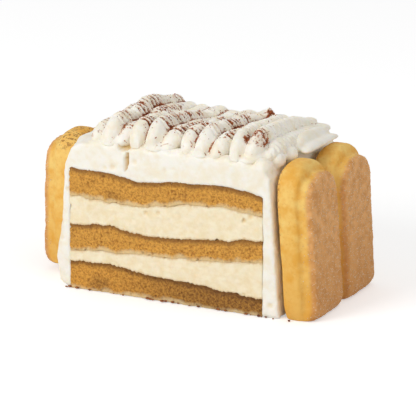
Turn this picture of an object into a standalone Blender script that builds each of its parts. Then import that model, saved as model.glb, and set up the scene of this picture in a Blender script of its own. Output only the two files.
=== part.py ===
"""A slice of tiramisu bar cake.

Three soaked sponge layers with two mascarpone layers between them stand under a thick cover of whipped
cream, which also coats both ends. Upright ladyfingers close the ends, and piped strokes of cream lie on top.
The cut faces look along -Y and +Y, and +X runs along the cut face to the end with two whole ladyfingers.
"""

import math

import bmesh
import bpy
from mathutils import Vector

MM = 0.001

# The slice stands on z = 0 and is centred on the origin.
DEPTH = 56.0 * MM
FRONT = -DEPTH / 2
BACK = DEPTH / 2
GAP = 0.3 * MM

# The layered stack inside the cream, from its left end to its right end.
STACK_LEFT = -38.2 * MM
STACK_RIGHT = 38.8 * MM
STACK_INSET = 0.25 * MM

# Heights of the layers' borders on the front cut, in millimetres, at these distances from the left end.
STATIONS = (0, 16, 28, 38, 48, 60, 72, 77)
SPONGE_BOTTOM_TOP = (10.5, 11.0, 9.5, 8.6, 8.6, 7.5, 6.5, 6.6)
SPONGE_MIDDLE_BASE = (14.2, 15.7, 16.3, 16.9, 17.2, 17.9, 19.0, 20.5)
SPONGE_MIDDLE_TOP = (24.2, 25.9, 23.6, 23.6, 24.8, 25.8, 27.8, 27.7)
SPONGE_TOP_BASE = (35.3, 34.2, 34.1, 35.5, 37.4, 38.2, 37.4, 36.8)
SPONGE_TOP_TOP = (44.8, 44.9, 42.6, 44.0, 44.8, 45.8, 45.0, 43.6)
DRIFT = 0.12  # how far along X the waves of the layers move for each millimetre of depth
LAYER_ACROSS = 18
LAYER_DEEP = 4

# The whipped cream: a cover over the stack and a coat down each end.
COVER_TOP = 55.0 * MM
COVER_EDGE = 45.2 * MM
LEFT_SHOULDER = 8.0 * MM
RIGHT_SHOULDER = 4.0 * MM
LEFT_FOOT_ROUND = 4.5 * MM
RIGHT_LEAN = 0.078  # how far an end leans in, as a share of the height
LEFT_LEAN = 0.02
LEFT_CUT = 1.6 * MM  # how much thinner the left coat is at the front cut, and how much more it leans there
LEFT_CUT_LEAN = 0.05
LEG_STEPS = 8
TOP_STEPS = 20

# One ladyfinger: x runs out from its flat inner face, y across its width and z up its length.
FINGER_WIDTH = 27.4 * MM
FINGER_PITCH = 28.0 * MM
FINGER_SIDE = 10.9 * MM
FINGER_CROWN = 3.3 * MM
FINGER_SEGMENTS = 22
CRUST_INSET = 1.7 * MM
FOOT_CHAMFER = 0.9 * MM
END_ROUND_WIDTH = 13.0 * MM
END_ROUND_THICK = 7.5 * MM
RIGHT_FRONT_LENGTH = 55.4 * MM
RIGHT_FRONT_LEAN = 0.075
RIGHT_BACK_LENGTH = 54.4 * MM
RIGHT_BACK_LEAN = 0.055
LEFT_LENGTH = 49.5 * MM
LEFT_SETBACK = 13.0 * MM
LEFT_LIFT = 3.0 * MM

# The piped strokes run from front to back, each with three big flutes along it and a round nose.
FIRST_STROKE_X = -23.2 * MM
STROKE_PITCH = 18.4 * MM
STROKE_HALF_WIDTH = 9.0 * MM
STROKE_HEIGHTS = (12.0, 12.2, 11.6, 12.4)
BACK_SHARES = (0.60, 0.42, 0.48, 0.45)  # the height at the back cut, as a share of the height in front
LAST_STROKE_NARROWS = 2.5 * MM
LAST_STROKE_DRIFTS = -1.7 * MM
NOSE_LENGTH = 9.0 * MM
NOSE_LOW = 0.3
NOSE_NARROW = 0.7
FLUTES = 3
FLUTE_DEPTH = 0.30
FLUTE_STEPS = 8
NOSE_STATIONS = 4
BODY_STATIONS = 9

# A short smooth curl of cream lies at the right end, on the tips of the ladyfingers.
CURL_X = 43.0 * MM
CURL_FRONT = -6.0 * MM
CURL_BACK = 20.5 * MM
CURL_HALF_WIDTH = 4.0 * MM
CURL_HEIGHT = 6.2 * MM
CURL_BACK_SHARE = 0.7

SPONGE = (0.50, 0.27, 0.075)
SOAKED_SPONGE = (0.32, 0.14, 0.035)
MASCARPONE = (0.89, 0.76, 0.50)
WHIPPED = (0.92, 0.87, 0.76)
BISCUIT = (0.82, 0.45, 0.12)


def make_material(name, colour, roughness):
    """A matt food surface."""
    material = bpy.data.materials.new(name)
    material.use_nodes = True
    shader = material.node_tree.nodes["Principled BSDF"]
    shader.inputs["Base Color"].default_value = (*colour, 1.0)
    shader.inputs["Roughness"].default_value = roughness
    shader.inputs["Metallic"].default_value = 0.0
    return material


def add_object(name, bm, material, collection):
    """Turns a bmesh into an object of the slice, with its faces pointing out."""
    bmesh.ops.recalc_face_normals(bm, faces=bm.faces)
    mesh = bpy.data.meshes.new(name)
    bm.to_mesh(mesh)
    bm.free()
    mesh.materials.append(material)
    mesh.shade_smooth()
    mesh.set_sharp_from_angle(angle=math.radians(40))
    obj = bpy.data.objects.new(name, mesh)
    collection.objects.link(obj)
    return obj


def height_at(heights, x, y):
    """The height of a layer's border, eased between its stations; the waves drift as they run back."""
    along = (x - STACK_LEFT - DRIFT * (y - FRONT)) / MM
    along = min(max(along, STATIONS[0]), STATIONS[-1])
    for left, right, low, high in zip(STATIONS, STATIONS[1:], heights, heights[1:]):
        if along <= right:
            share = (along - left) / (right - left)
            eased = share * share * (3 - 2 * share)
            return (low + (high - low) * eased) * MM
    return heights[-1] * MM


def make_slab(name, under, over, across, deep, material, collection):
    """A closed slab between two surfaces, each given as a function of two shares from 0 to 1."""
    bm = bmesh.new()
    bmesh.ops.create_grid(bm, x_segments=across, y_segments=deep, size=0.5)
    shares = [(v.co.x + 0.5, v.co.y + 0.5) for v in bm.verts]
    grown = bmesh.ops.extrude_face_region(bm, geom=bm.faces[:], use_keep_orig=True)
    upper = [item for item in grown["geom"] if isinstance(item, bmesh.types.BMVert)]
    raised = set(upper)
    lower = [v for v in bm.verts if v not in raised]
    for vert in upper:
        vert.co = over(vert.co.x + 0.5, vert.co.y + 0.5)
    for vert, (u, w) in zip(lower, shares):
        vert.co = under(u, w)
    return add_object(name, bm, material, collection)


def make_layer(name, base, top, material, collection):
    """A sponge or mascarpone layer that runs from the front cut to the back cut."""

    def place(u, w):
        x = STACK_LEFT + STACK_INSET + u * (STACK_RIGHT - STACK_LEFT - 2 * STACK_INSET)
        return x, FRONT + w * DEPTH

    def under(u, w):
        x, y = place(u, w)
        return Vector((x, y, height_at(base, x, y) + GAP / 2 if base else 0.0))

    def over(u, w):
        x, y = place(u, w)
        return Vector((x, y, height_at(top, x, y) - GAP / 2))

    return make_slab(name, under, over, LAYER_ACROSS, LAYER_DEEP, material, collection)


def cover_inner(share, y):
    """A point of the cover's inner side, which runs up the left end, over the stack and down the right."""
    step = share * (2 * LEG_STEPS + TOP_STEPS)
    left, right = STACK_LEFT, STACK_RIGHT
    if step <= LEG_STEPS:
        rise = step / LEG_STEPS
        return Vector((left, y, rise * (height_at(SPONGE_TOP_TOP, left, y) + GAP / 2)))
    if step >= LEG_STEPS + TOP_STEPS:
        rise = (2 * LEG_STEPS + TOP_STEPS - step) / LEG_STEPS
        return Vector((right, y, rise * (height_at(SPONGE_TOP_TOP, right, y) + GAP / 2)))
    x = left + (step - LEG_STEPS) / TOP_STEPS * (right - left)
    return Vector((x, y, height_at(SPONGE_TOP_TOP, x, y) + GAP / 2))


def coat_x(side, y, z):
    """Where the cream's outer side is at this height, on the left (-1) or on the right (+1)."""
    if side > 0:
        return COVER_EDGE - RIGHT_LEAN * z
    near_cut = max(0.0, 1 - (y - FRONT) / (DEPTH / LAYER_DEEP))
    below = max(0.0, 1 - z / LEFT_FOOT_ROUND)
    foot = LEFT_FOOT_ROUND * (1 - math.sqrt(1 - below * below))
    return -(COVER_EDGE - LEFT_LEAN * z - near_cut * (LEFT_CUT + LEFT_CUT_LEAN * z) - foot)


def cover_outer(share, y):
    """A point of the cover's outer side, whose ends lean in and whose shoulders are round."""
    step = share * (2 * LEG_STEPS + TOP_STEPS)
    left_top = COVER_TOP - LEFT_SHOULDER
    right_top = COVER_TOP - RIGHT_SHOULDER
    if step <= LEG_STEPS:
        z = (step / LEG_STEPS) ** 1.5 * left_top
        return Vector((coat_x(-1, y, z), y, z))
    if step >= LEG_STEPS + TOP_STEPS:
        z = (2 * LEG_STEPS + TOP_STEPS - step) / LEG_STEPS * right_top
        return Vector((coat_x(1, y, z), y, z))
    left, right = coat_x(-1, y, left_top), coat_x(1, y, right_top)
    across = (step - LEG_STEPS) / TOP_STEPS * 2 - 1
    eased = 0.5 + 0.5 * (0.35 * math.sin(across * math.pi / 2) + 0.65 * across)
    x = left + (right - left) * eased
    from_left = max(0.0, 1 - (x - left) / LEFT_SHOULDER)
    from_right = max(0.0, 1 - (right - x) / RIGHT_SHOULDER)
    drop = LEFT_SHOULDER * (1 - math.sqrt(1 - from_left * from_left))
    drop += RIGHT_SHOULDER * (1 - math.sqrt(1 - from_right * from_right))
    return Vector((x, y, COVER_TOP - drop))


def make_cover(material, collection):
    """The whipped cream over the stack and down both of its ends, in one piece."""
    return make_slab(
        "cream_cover",
        lambda u, w: cover_inner(u, FRONT + w * DEPTH),
        lambda u, w: cover_outer(u, FRONT + w * DEPTH),
        2 * LEG_STEPS + TOP_STEPS,
        LAYER_DEEP,
        material,
        collection,
    )


def loft(rings):
    """A closed body through rings of points, with a flat face on its first and last ring."""
    bm = bmesh.new()
    rows = [[bm.verts.new(point) for point in ring] for ring in rings]
    count = len(rows[0])
    for row, following in zip(rows, rows[1:]):
        for k in range(count):
            after = (k + 1) % count
            bm.faces.new((row[k], row[after], following[after], following[k]))
    bm.faces.new(reversed(rows[0]))
    bm.faces.new(rows[-1])
    return bm


def finger_section(width_share, thick_share):
    """The outline of a ladyfinger across its length: a flat inner face, bulging sides and a domed crust."""
    half = FINGER_WIDTH / 2 * width_share
    side = FINGER_SIDE * thick_share
    crown = FINGER_CROWN * thick_share
    points = []
    for k in range(FINGER_SEGMENTS):
        angle = 2 * math.pi * (k + 0.5) / FINGER_SEGMENTS
        across, out = math.sin(angle), -math.cos(angle)
        y = half * math.copysign(abs(across) ** 0.45, across)
        x = side / 2 * (1 + math.copysign(abs(out) ** 0.5, out))
        share = abs(y) / half
        if out > 0:
            crust = max(0.0, 1 - (share * half / (half - CRUST_INSET * width_share)) ** 4)
            x += crown * math.sqrt(crust)
        points.append((x, y))
    return points


def make_finger(name, length, lean, material, collection):
    """A ladyfinger that stands on a cut foot and ends in its own round tip."""
    body = length - END_ROUND_WIDTH
    levels = [(0.0, 1.0, 1.0, FOOT_CHAMFER), (FOOT_CHAMFER, 1.0, 1.0, 0.0)]
    levels += [(body * k / 4, 1.0, 1.0, 0.0) for k in range(1, 5)]
    for degrees in (18, 36, 54, 70, 83):
        turn = math.radians(degrees)
        z = body + END_ROUND_WIDTH * math.sin(turn)
        below_tip = (length - z) / END_ROUND_THICK
        thick = math.sqrt(max(0.0, 1 - max(0.0, 1 - below_tip) ** 2))
        levels.append((z, math.cos(turn), 0.35 + 0.65 * thick, 0.0))
    rings = []
    for z, width_share, thick_share, chamfer in levels:
        ring = []
        for x, y in finger_section(width_share, thick_share):
            inward = 1 - chamfer / (FINGER_WIDTH / 2)
            middle = FINGER_SIDE / 2
            x = middle + (x - middle) * inward + (1 - thick_share) * FINGER_SIDE * 0.3
            ring.append(Vector((x - lean * z, y * inward, z)))
        rings.append(ring)
    return add_object(name, loft(rings), material, collection)


def stroke_section(x_middle, half_width, base, height):
    """The outline of a piped stroke: round flutes over a flat foot."""
    points = []
    steps = FLUTES * FLUTE_STEPS
    for k in range(steps + 1):
        angle = math.pi * k / steps
        across = (k % FLUTE_STEPS) / FLUTE_STEPS * 2 - 1 if k < steps else 1
        reach = 1 - FLUTE_DEPTH * abs(across) ** 3
        x = x_middle + half_width * reach * math.cos(angle)
        z = base + height * reach * math.sin(angle)
        points.append((x, z))
    return points


def make_stroke(name, path, width, base, rise, material, collection):
    """A stroke of piped cream with a round nose in front; each pair gives a value in front and at the back."""
    (x_front, y_front), (x_back, y_back) = path
    places = [NOSE_LENGTH * (k / NOSE_STATIONS) ** 2 for k in range(NOSE_STATIONS)]
    body = y_back - y_front - NOSE_LENGTH
    places += [NOSE_LENGTH + body * k / BODY_STATIONS for k in range(BODY_STATIONS + 1)]
    rings = []
    for place in places:
        share = place / (y_back - y_front)
        short = max(0.0, 1 - place / NOSE_LENGTH)
        dome = math.sqrt(1 - short * short)
        half_width = width[0] + share * (width[1] - width[0])
        height = rise[0] + share * share * (rise[1] - rise[0])
        half_width *= NOSE_NARROW + (1 - NOSE_NARROW) * dome
        height *= NOSE_LOW + (1 - NOSE_LOW) * dome
        x = x_front + share * (x_back - x_front)
        section = stroke_section(x, half_width, base, height)
        rings.append([Vector((x, y_front + place, z)) for x, z in section])
    return add_object(name, loft(rings), material, collection)


def cut_behind(obj, y, cutters):
    """Cuts the object along the plane of the back cut with a box behind it."""
    bpy.ops.mesh.primitive_cube_add(size=1)
    box = bpy.context.object
    box.name = "back_cut"
    box.scale = (4 * DEPTH, 2 * DEPTH, 4 * DEPTH)
    box.location = (0, y + DEPTH, 0)
    box.hide_render = True
    box.display_type = "WIRE"
    for holder in list(box.users_collection):
        holder.objects.unlink(box)
    cutters.objects.link(box)
    cut = obj.modifiers.new("back_cut", "BOOLEAN")
    cut.operation = "DIFFERENCE"
    cut.object = box


def clear_scene():
    for obj in list(bpy.data.objects):
        bpy.data.objects.remove(obj)


def main():
    clear_scene()
    slice_parts = bpy.data.collections.new("tiramisu_slice")
    cutters = bpy.data.collections.new("cutters")
    for collection in (slice_parts, cutters):
        bpy.context.scene.collection.children.link(collection)

    sponge = make_material("sponge", SPONGE, 0.9)
    soaked = make_material("soaked_sponge", SOAKED_SPONGE, 0.8)
    mascarpone = make_material("mascarpone", MASCARPONE, 0.6)
    whipped = make_material("whipped_cream", WHIPPED, 0.6)
    biscuit = make_material("biscuit", BISCUIT, 0.85)

    make_layer("sponge_bottom", None, SPONGE_BOTTOM_TOP, soaked, slice_parts)
    make_layer("mascarpone_lower", SPONGE_BOTTOM_TOP, SPONGE_MIDDLE_BASE, mascarpone, slice_parts)
    make_layer("sponge_middle", SPONGE_MIDDLE_BASE, SPONGE_MIDDLE_TOP, sponge, slice_parts)
    make_layer("mascarpone_upper", SPONGE_MIDDLE_TOP, SPONGE_TOP_BASE, mascarpone, slice_parts)
    make_layer("sponge_top", SPONGE_TOP_BASE, SPONGE_TOP_TOP, sponge, slice_parts)
    make_cover(whipped, slice_parts)

    right_x = COVER_EDGE + GAP
    right_front = make_finger(
        "ladyfinger_right_front", RIGHT_FRONT_LENGTH, RIGHT_FRONT_LEAN, biscuit, slice_parts
    )
    right_front.location = (right_x, -FINGER_PITCH / 2, 0)
    right_back = make_finger(
        "ladyfinger_right_back", RIGHT_BACK_LENGTH, RIGHT_BACK_LEAN, biscuit, slice_parts
    )
    right_back.location = (right_x, FINGER_PITCH / 2, 0)

    left_y = FRONT + LEFT_SETBACK + FINGER_PITCH / 2
    left_front = make_finger("ladyfinger_left_front", LEFT_LENGTH, LEFT_LEAN, biscuit, slice_parts)
    left_front.location = (-right_x, left_y, LEFT_LIFT)
    left_front.rotation_euler = (0, 0, math.pi)
    left_back = make_finger("ladyfinger_left_back", LEFT_LENGTH, LEFT_LEAN, biscuit, slice_parts)
    left_back.location = (-right_x, left_y + FINGER_PITCH, 0)
    left_back.rotation_euler = (0, 0, math.pi)
    cut_behind(left_back, BACK, cutters)

    last = len(STROKE_HEIGHTS) - 1
    for k, height in enumerate(STROKE_HEIGHTS):
        x = FIRST_STROKE_X + k * STROKE_PITCH
        x_back = x + LAST_STROKE_DRIFTS if k == last else x
        narrow = LAST_STROKE_NARROWS if k == last else 0.0
        path = ((x, FRONT), (x_back, BACK))
        width = (STROKE_HALF_WIDTH, STROKE_HALF_WIDTH - narrow)
        rise = (height * MM, height * MM * BACK_SHARES[k])
        make_stroke(
            f"piped_cream_{k + 1}", path, width, COVER_TOP + GAP, rise, whipped, slice_parts
        )
    path = ((CURL_X, CURL_FRONT), (CURL_X, CURL_BACK))
    width = (CURL_HALF_WIDTH, CURL_HALF_WIDTH)
    rise = (CURL_HEIGHT, CURL_HEIGHT * CURL_BACK_SHARE)
    make_stroke("piped_curl", path, width, RIGHT_FRONT_LENGTH + GAP, rise, whipped, slice_parts)


main()
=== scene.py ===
# %% [markdown]
# A slice of tiramisu, cut from a long bar cake. Soaked sponge and mascarpone cream lie in turns, whipped
# cream covers the stack and both ends, ladyfingers stand against the ends, and piped strokes dusted with
# cocoa lie on top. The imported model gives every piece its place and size. This script makes the surfaces
# that a knife, a piping bag and a sieve leave behind.

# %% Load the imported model
import math

import bmesh
import bpy
import numpy as np
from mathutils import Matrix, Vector, noise
from mathutils.bvhtree import BVHTree


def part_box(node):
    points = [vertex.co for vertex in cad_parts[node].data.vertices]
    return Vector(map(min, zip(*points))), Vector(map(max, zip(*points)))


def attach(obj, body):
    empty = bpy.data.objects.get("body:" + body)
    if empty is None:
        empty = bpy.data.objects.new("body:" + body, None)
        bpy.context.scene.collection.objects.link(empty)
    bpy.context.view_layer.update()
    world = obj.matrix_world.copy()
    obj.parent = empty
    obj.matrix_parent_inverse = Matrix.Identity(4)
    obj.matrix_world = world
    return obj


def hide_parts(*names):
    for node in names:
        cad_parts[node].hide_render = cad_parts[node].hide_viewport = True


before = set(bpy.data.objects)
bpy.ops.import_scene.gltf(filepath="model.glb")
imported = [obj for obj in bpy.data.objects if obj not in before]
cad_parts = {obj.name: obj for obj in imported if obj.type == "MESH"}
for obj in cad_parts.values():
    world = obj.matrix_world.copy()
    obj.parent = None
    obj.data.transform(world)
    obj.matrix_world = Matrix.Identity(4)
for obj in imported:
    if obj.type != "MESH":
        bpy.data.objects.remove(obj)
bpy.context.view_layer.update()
print("pieces in the packed model:", len(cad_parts))

# %% [markdown]
# Food is small, so every size below is written in millimetres and turned to metres by one factor. Colours
# are written as the numbers from 0 to 255 that a screen shows, and turned to the linear values that
# Blender's sockets take.

# %% Units and colours
MM = 0.001


def screen(red, green, blue):
    """A linear colour, with its alpha, from the values a screen shows."""
    linear = [(c / 255 / 12.92) if c <= 10 else ((c / 255 + 0.055) / 1.055) ** 2.4 for c in (red, green, blue)]
    return (*linear, 1.0)


def place_of(node_name):
    """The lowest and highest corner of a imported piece, in millimetres."""
    low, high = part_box(node_name)
    return low / MM, high / MM


stack_low, stack_high = place_of("sponge_bottom")
cover_low, cover_high = place_of("cream_cover")
FRONT, BACK = cover_low.y, cover_high.y
DEPTH = BACK - FRONT
COVER_TOP = cover_high.z
print(f"cut faces at y = {FRONT:.1f} and {BACK:.1f} mm, cover top at z = {COVER_TOP:.1f} mm")

# %% [markdown]
# The camera stands a little to the right of the cut face and looks slightly down. It is placed by two
# angles and a distance from the middle of the slice, and a long lens keeps the upright edges nearly parallel.

# %% Camera
CAMERA_AZIMUTH = math.radians(26.37)
CAMERA_ELEVATION = math.radians(16.51)
CAMERA_DISTANCE = 1.2
CAMERA_LENS = 284.8
AIM = Vector((0.0033, 0.0006, 0.0280))

towards_camera = Vector(
    (
        math.sin(CAMERA_AZIMUTH) * math.cos(CAMERA_ELEVATION),
        -math.cos(CAMERA_AZIMUTH) * math.cos(CAMERA_ELEVATION),
        math.sin(CAMERA_ELEVATION),
    )
)
camera_data = bpy.data.cameras.new("camera")
camera_data.lens = CAMERA_LENS
camera_data.clip_end = 20.0
camera = bpy.data.objects.new("camera", camera_data)
camera.location = AIM + towards_camera * CAMERA_DISTANCE
camera.rotation_euler = towards_camera.to_track_quat("Z", "Y").to_euler()
bpy.context.scene.collection.objects.link(camera)
bpy.context.scene.camera = camera
print("camera stands at", [round(c, 3) for c in camera.location])

# %% [markdown]
# The background is white and the table is pale. A soft square lamp in front and to the left does most of the
# work, as a window would, and the world fills the shadows. The floor glows a little for the camera only, so
# that it reads as white while the shadow of the slice stays on it.

# %% World, floor and lamps
WHITE = (1.0, 1.0, 1.0, 1.0)
AMBIENT = 0.47
FLOOR_GLOW = 0.41
FLOOR_SIZE = 12.0


def node(tree, kind, inputs=None, **settings):
    """Adds a node. Settings name its properties; inputs name or number its sockets, with values or links."""
    made = tree.nodes.new(kind)
    for name, value in settings.items():
        setattr(made, name, value)
    for key, value in (inputs or {}).items():
        if isinstance(value, bpy.types.NodeSocket):
            tree.links.new(value, made.inputs[key])
        else:
            made.inputs[key].default_value = value
    return made


def calc(tree, operation, first, second=0.0, clamp=False):
    """One sum on two values or sockets."""
    return node(tree, "ShaderNodeMath", {0: first, 1: second}, operation=operation, use_clamp=clamp).outputs[0]


def seen_rays(tree):
    """One for rays from the camera and for those that a shiny or clear surface sends on."""
    path = node(tree, "ShaderNodeLightPath")
    seen = calc(tree, "MAXIMUM", path.outputs["Is Camera Ray"], path.outputs["Is Glossy Ray"])
    return calc(tree, "MAXIMUM", seen, path.outputs["Is Transmission Ray"])


world = bpy.data.worlds.new("studio")
bpy.context.scene.world = world
world.use_nodes = True
sky = world.node_tree
backdrop = sky.nodes["Background"]
backdrop.inputs["Color"].default_value = WHITE
lift = calc(sky, "MULTIPLY", seen_rays(sky), 1.0 - AMBIENT)
sky.links.new(calc(sky, "ADD", lift, AMBIENT), backdrop.inputs["Strength"])

floor_paint = bpy.data.materials.new("white_table")
floor_paint.use_nodes = True
paint = floor_paint.node_tree
paint.nodes.clear()
matt = node(paint, "ShaderNodeBsdfDiffuse", {"Color": (0.86, 0.86, 0.86, 1.0)})
glow_strength = calc(paint, "MULTIPLY", seen_rays(paint), FLOOR_GLOW)
glow = node(paint, "ShaderNodeEmission", {"Color": WHITE, "Strength": glow_strength})
both = node(paint, "ShaderNodeAddShader", {0: matt.outputs[0], 1: glow.outputs[0]})
node(paint, "ShaderNodeOutputMaterial", {"Surface": both.outputs[0]})

bpy.ops.mesh.primitive_plane_add(size=FLOOR_SIZE, location=(0, 0, -0.0002))
floor = bpy.context.object
floor.name = "floor"
floor.data.materials.append(floor_paint)


def soft_lamp(name, place, size, watts):
    """A square lamp that looks at the slice."""
    data = bpy.data.lights.new(name, "AREA")
    data.size = size
    data.energy = watts
    lamp = bpy.data.objects.new(name, data)
    lamp.location = place
    lamp.rotation_euler = Vector(place).to_track_quat("Z", "Y").to_euler()
    bpy.context.scene.collection.objects.link(lamp)
    return lamp


soft_lamp("key_lamp", (-0.45, -0.95, 0.60), 0.55, 6.0)
soft_lamp("side_lamp", (0.95, -0.35, 0.50), 0.60, 1.5)
soft_lamp("top_lamp", (0.0, 0.25, 1.10), 0.70, 1.0)
bpy.context.scene.view_settings.view_transform = "Standard"

# %% [markdown]
# Every surface here starts from the same few tricks: a colour that wanders between two or three tones, a
# mask that says where something lies, and a faint bump. These helpers keep the materials short. Patterns
# read Object coordinates, so they stay put when the camera moves.

# %% Helpers for materials
SUBSURFACE = 0.18
SUBSURFACE_SCALE = 0.0015


def noise_value(tree, size_mm, detail=3.0, roughness=0.55, stretch=(1.0, 1.0, 1.0), shift=0.0):
    """Cloudy noise from about 0 to 1, whose lumps are about size_mm across."""
    place = node(tree, "ShaderNodeTexCoord").outputs["Object"]
    moved = {"Vector": place, "Location": (shift, shift, shift), "Scale": stretch}
    turned = node(tree, "ShaderNodeMapping", moved).outputs[0]
    inputs = {"Vector": turned, "Scale": 1.0 / (size_mm * MM), "Detail": detail, "Roughness": roughness}
    return node(tree, "ShaderNodeTexNoise", inputs).outputs["Fac"]


def between(tree, value, low, high):
    """Turns a value into 0 below low and 1 above high, eased between them."""
    inputs = {"Value": value, "From Min": low, "From Max": high, "To Min": 0.0, "To Max": 1.0}
    return node(tree, "ShaderNodeMapRange", inputs, interpolation_type="SMOOTHSTEP").outputs["Result"]


def blend_colour(tree, share, first, second):
    """The first colour where the share is 0 and the second where it is 1."""
    made = node(tree, "ShaderNodeMix", data_type="RGBA")
    for index, value in ((0, share), (6, first), (7, second)):
        if isinstance(value, bpy.types.NodeSocket):
            tree.links.new(value, made.inputs[index])
        else:
            made.inputs[index].default_value = value
    return made.outputs[2]


def side_and_height(tree):
    """Object coordinates along X and Z."""
    place = node(tree, "ShaderNodeTexCoord").outputs["Object"]
    parts = node(tree, "ShaderNodeSeparateXYZ", {0: place}).outputs
    return parts[0], parts[2]


def attribute_value(tree, name):
    """A value that the mesh carries on its points."""
    return node(tree, "ShaderNodeAttribute", attribute_name=name).outputs["Fac"]


def food_material(name, roughness, bump_height, subsurface=SUBSURFACE):
    """A Principled surface for food, and the nodes that its colour and bump are plugged into."""
    material = bpy.data.materials.new(name)
    material.use_nodes = True
    tree = material.node_tree
    surface = tree.nodes["Principled BSDF"]
    surface.inputs["Roughness"].default_value = roughness
    surface.inputs["Specular IOR Level"].default_value = 0.35
    surface.inputs["Subsurface Weight"].default_value = subsurface
    surface.inputs["Subsurface Scale"].default_value = SUBSURFACE_SCALE
    surface.inputs["Subsurface Radius"].default_value = (1.0, 0.7, 0.4)
    bump = node(tree, "ShaderNodeBump", {"Strength": 1.0, "Distance": bump_height * MM})
    tree.links.new(bump.outputs[0], surface.inputs["Normal"])
    return material, tree, surface, bump


print("materials are mixed by five helpers")

# %% [markdown]
# Geometry Nodes make the fine relief. One tree, relief, moves every point of a dense mesh along its normal:
# broad lumps, fine grain and scattered pits, each with its own size and height. The same tree makes cake
# crumb, cream and biscuit, because only the numbers differ. It also writes how deep each pit is, so that a
# material can paint shade into the pits.

# %% Helpers for Geometry Nodes
SOCKET_KINDS = {float: "NodeSocketFloat", int: "NodeSocketInt", str: "NodeSocketString"}


def new_tree(name, inputs):
    """A tree with one geometry in and out, and one named input for each value given."""
    tree = bpy.data.node_groups.new(name, "GeometryNodeTree")
    tree.interface.new_socket("Geometry", in_out="INPUT", socket_type="NodeSocketGeometry")
    for label, value in inputs.items():
        kind = SOCKET_KINDS.get(type(value), "NodeSocketMaterial")
        socket = tree.interface.new_socket(label, in_out="INPUT", socket_type=kind)
        if value is not None:
            socket.default_value = value
    tree.interface.new_socket("Geometry", in_out="OUTPUT", socket_type="NodeSocketGeometry")
    return tree, tree.nodes.new("NodeGroupInput").outputs


def end_tree(tree, geometry):
    """Plugs the last geometry into the tree's output."""
    node(tree, "NodeGroupOutput", {0: geometry})


def run_tree(piece, tree, inputs):
    """Runs a tree on a piece and keeps the result as the piece's own plain mesh."""
    modifier = piece.modifiers.new(tree.name, "NODES")
    modifier.node_group = tree
    sockets = {item.name: item.identifier for item in tree.interface.items_tree if item.in_out == "INPUT"}
    for label, value in inputs.items():
        modifier[sockets[label]] = value
    keep_result(piece)


def keep_result(piece):
    """Replaces a piece's mesh with what its modifiers make, and removes them."""
    seen = bpy.context.evaluated_depsgraph_get()
    mesh = bpy.data.meshes.new_from_object(
        piece.evaluated_get(seen), preserve_all_data_layers=True, depsgraph=seen
    )
    piece.modifiers.clear()
    piece.data = mesh


def relief_tree():
    """Lumps, grain and pits along the normal, as strong as the points' own value named carve."""
    tree, given = new_tree(
        "relief",
        {
            "Lump Size": 0.006,
            "Lump Height": 0.0002,
            "Grain Size": 0.001,
            "Grain Height": 0.0001,
            "Pit Size": 0.002,
            "Pit Depth": 0.0003,
            "Pit Share": 0.3,
            "Seed": 1.0,
        },
    )
    place = node(tree, "GeometryNodeInputPosition").outputs[0]
    normal = node(tree, "GeometryNodeInputNormal").outputs[0]
    carve = node(tree, "GeometryNodeInputNamedAttribute", {"Name": "carve"}, data_type="FLOAT").outputs[0]
    heights = []
    for kind in ("Lump", "Grain"):
        scale = calc(tree, "DIVIDE", 1.0, given[f"{kind} Size"])
        cloud = node(
            tree,
            "ShaderNodeTexNoise",
            {"Vector": place, "W": given["Seed"], "Scale": scale, "Detail": 2.0, "Roughness": 0.5},
            noise_dimensions="4D",
        ).outputs[0]
        swing = calc(tree, "MULTIPLY", calc(tree, "SUBTRACT", cloud, 0.5), 2.0)
        heights.append(calc(tree, "MULTIPLY", swing, given[f"{kind} Height"]))
    cells = node(
        tree,
        "ShaderNodeTexVoronoi",
        {"Vector": place, "W": given["Seed"], "Scale": calc(tree, "DIVIDE", 1.0, given["Pit Size"])},
        voronoi_dimensions="4D",
    )
    draw = node(tree, "ShaderNodeSeparateXYZ", {0: cells.outputs["Color"]}).outputs[0]
    chosen = calc(tree, "LESS_THAN", draw, given["Pit Share"])
    cup = between(tree, cells.outputs["Distance"], 0.55, 0.15)
    pit = calc(tree, "MULTIPLY", calc(tree, "MULTIPLY", chosen, cup), carve)
    # The pit value is kept so that the materials can paint shade into the pits.
    marked = node(
        tree, "GeometryNodeStoreNamedAttribute", {"Geometry": given[0], "Name": "pit", "Value": pit},
        data_type="FLOAT", domain="POINT",
    ).outputs[0]
    sink = calc(tree, "MULTIPLY", calc(tree, "MULTIPLY", chosen, cup), given["Pit Depth"])
    height = calc(tree, "SUBTRACT", calc(tree, "ADD", heights[0], heights[1]), sink)
    strength = calc(tree, "MULTIPLY", height, carve)
    push = node(tree, "ShaderNodeVectorMath", {0: normal, "Scale": strength}, operation="SCALE").outputs[0]
    end_tree(tree, node(tree, "GeometryNodeSetPosition", {"Geometry": marked, "Offset": push}).outputs[0])
    return tree


RELIEF = relief_tree()
print("the relief tree has", len(RELIEF.nodes), "nodes")

# %% [markdown]
# Some shapes are easier to write as rows of points than as nodes. These helpers turn such rows into a closed
# mesh, give the finished piece its material, and hide the imported nodes that it stands in for.

# %% Helpers for meshes


def to_piece(name, points_mm, faces, marks):
    """A mesh object from points in millimetres, its faces, and named values on its points."""
    mesh = bpy.data.meshes.new(name)
    mesh.from_pydata((np.asarray(points_mm) * MM).tolist(), [], faces)
    for label, values in marks.items():
        mesh.attributes.new(label, "FLOAT", "POINT").data.foreach_set("value", np.asarray(values, np.float32))
    piece = bpy.data.objects.new(name, mesh)
    bpy.context.scene.collection.objects.link(piece)
    return piece


def ring_faces(rings, around):
    """The quads between rings of points that close on themselves."""
    ring, step = np.meshgrid(np.arange(rings - 1), np.arange(around), indexing="ij")
    after = (step + 1) % around
    here, above = ring * around, (ring + 1) * around
    quads = np.stack((here + step, here + after, above + after, above + step), -1)
    return quads.reshape(-1, 4).tolist()


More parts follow.
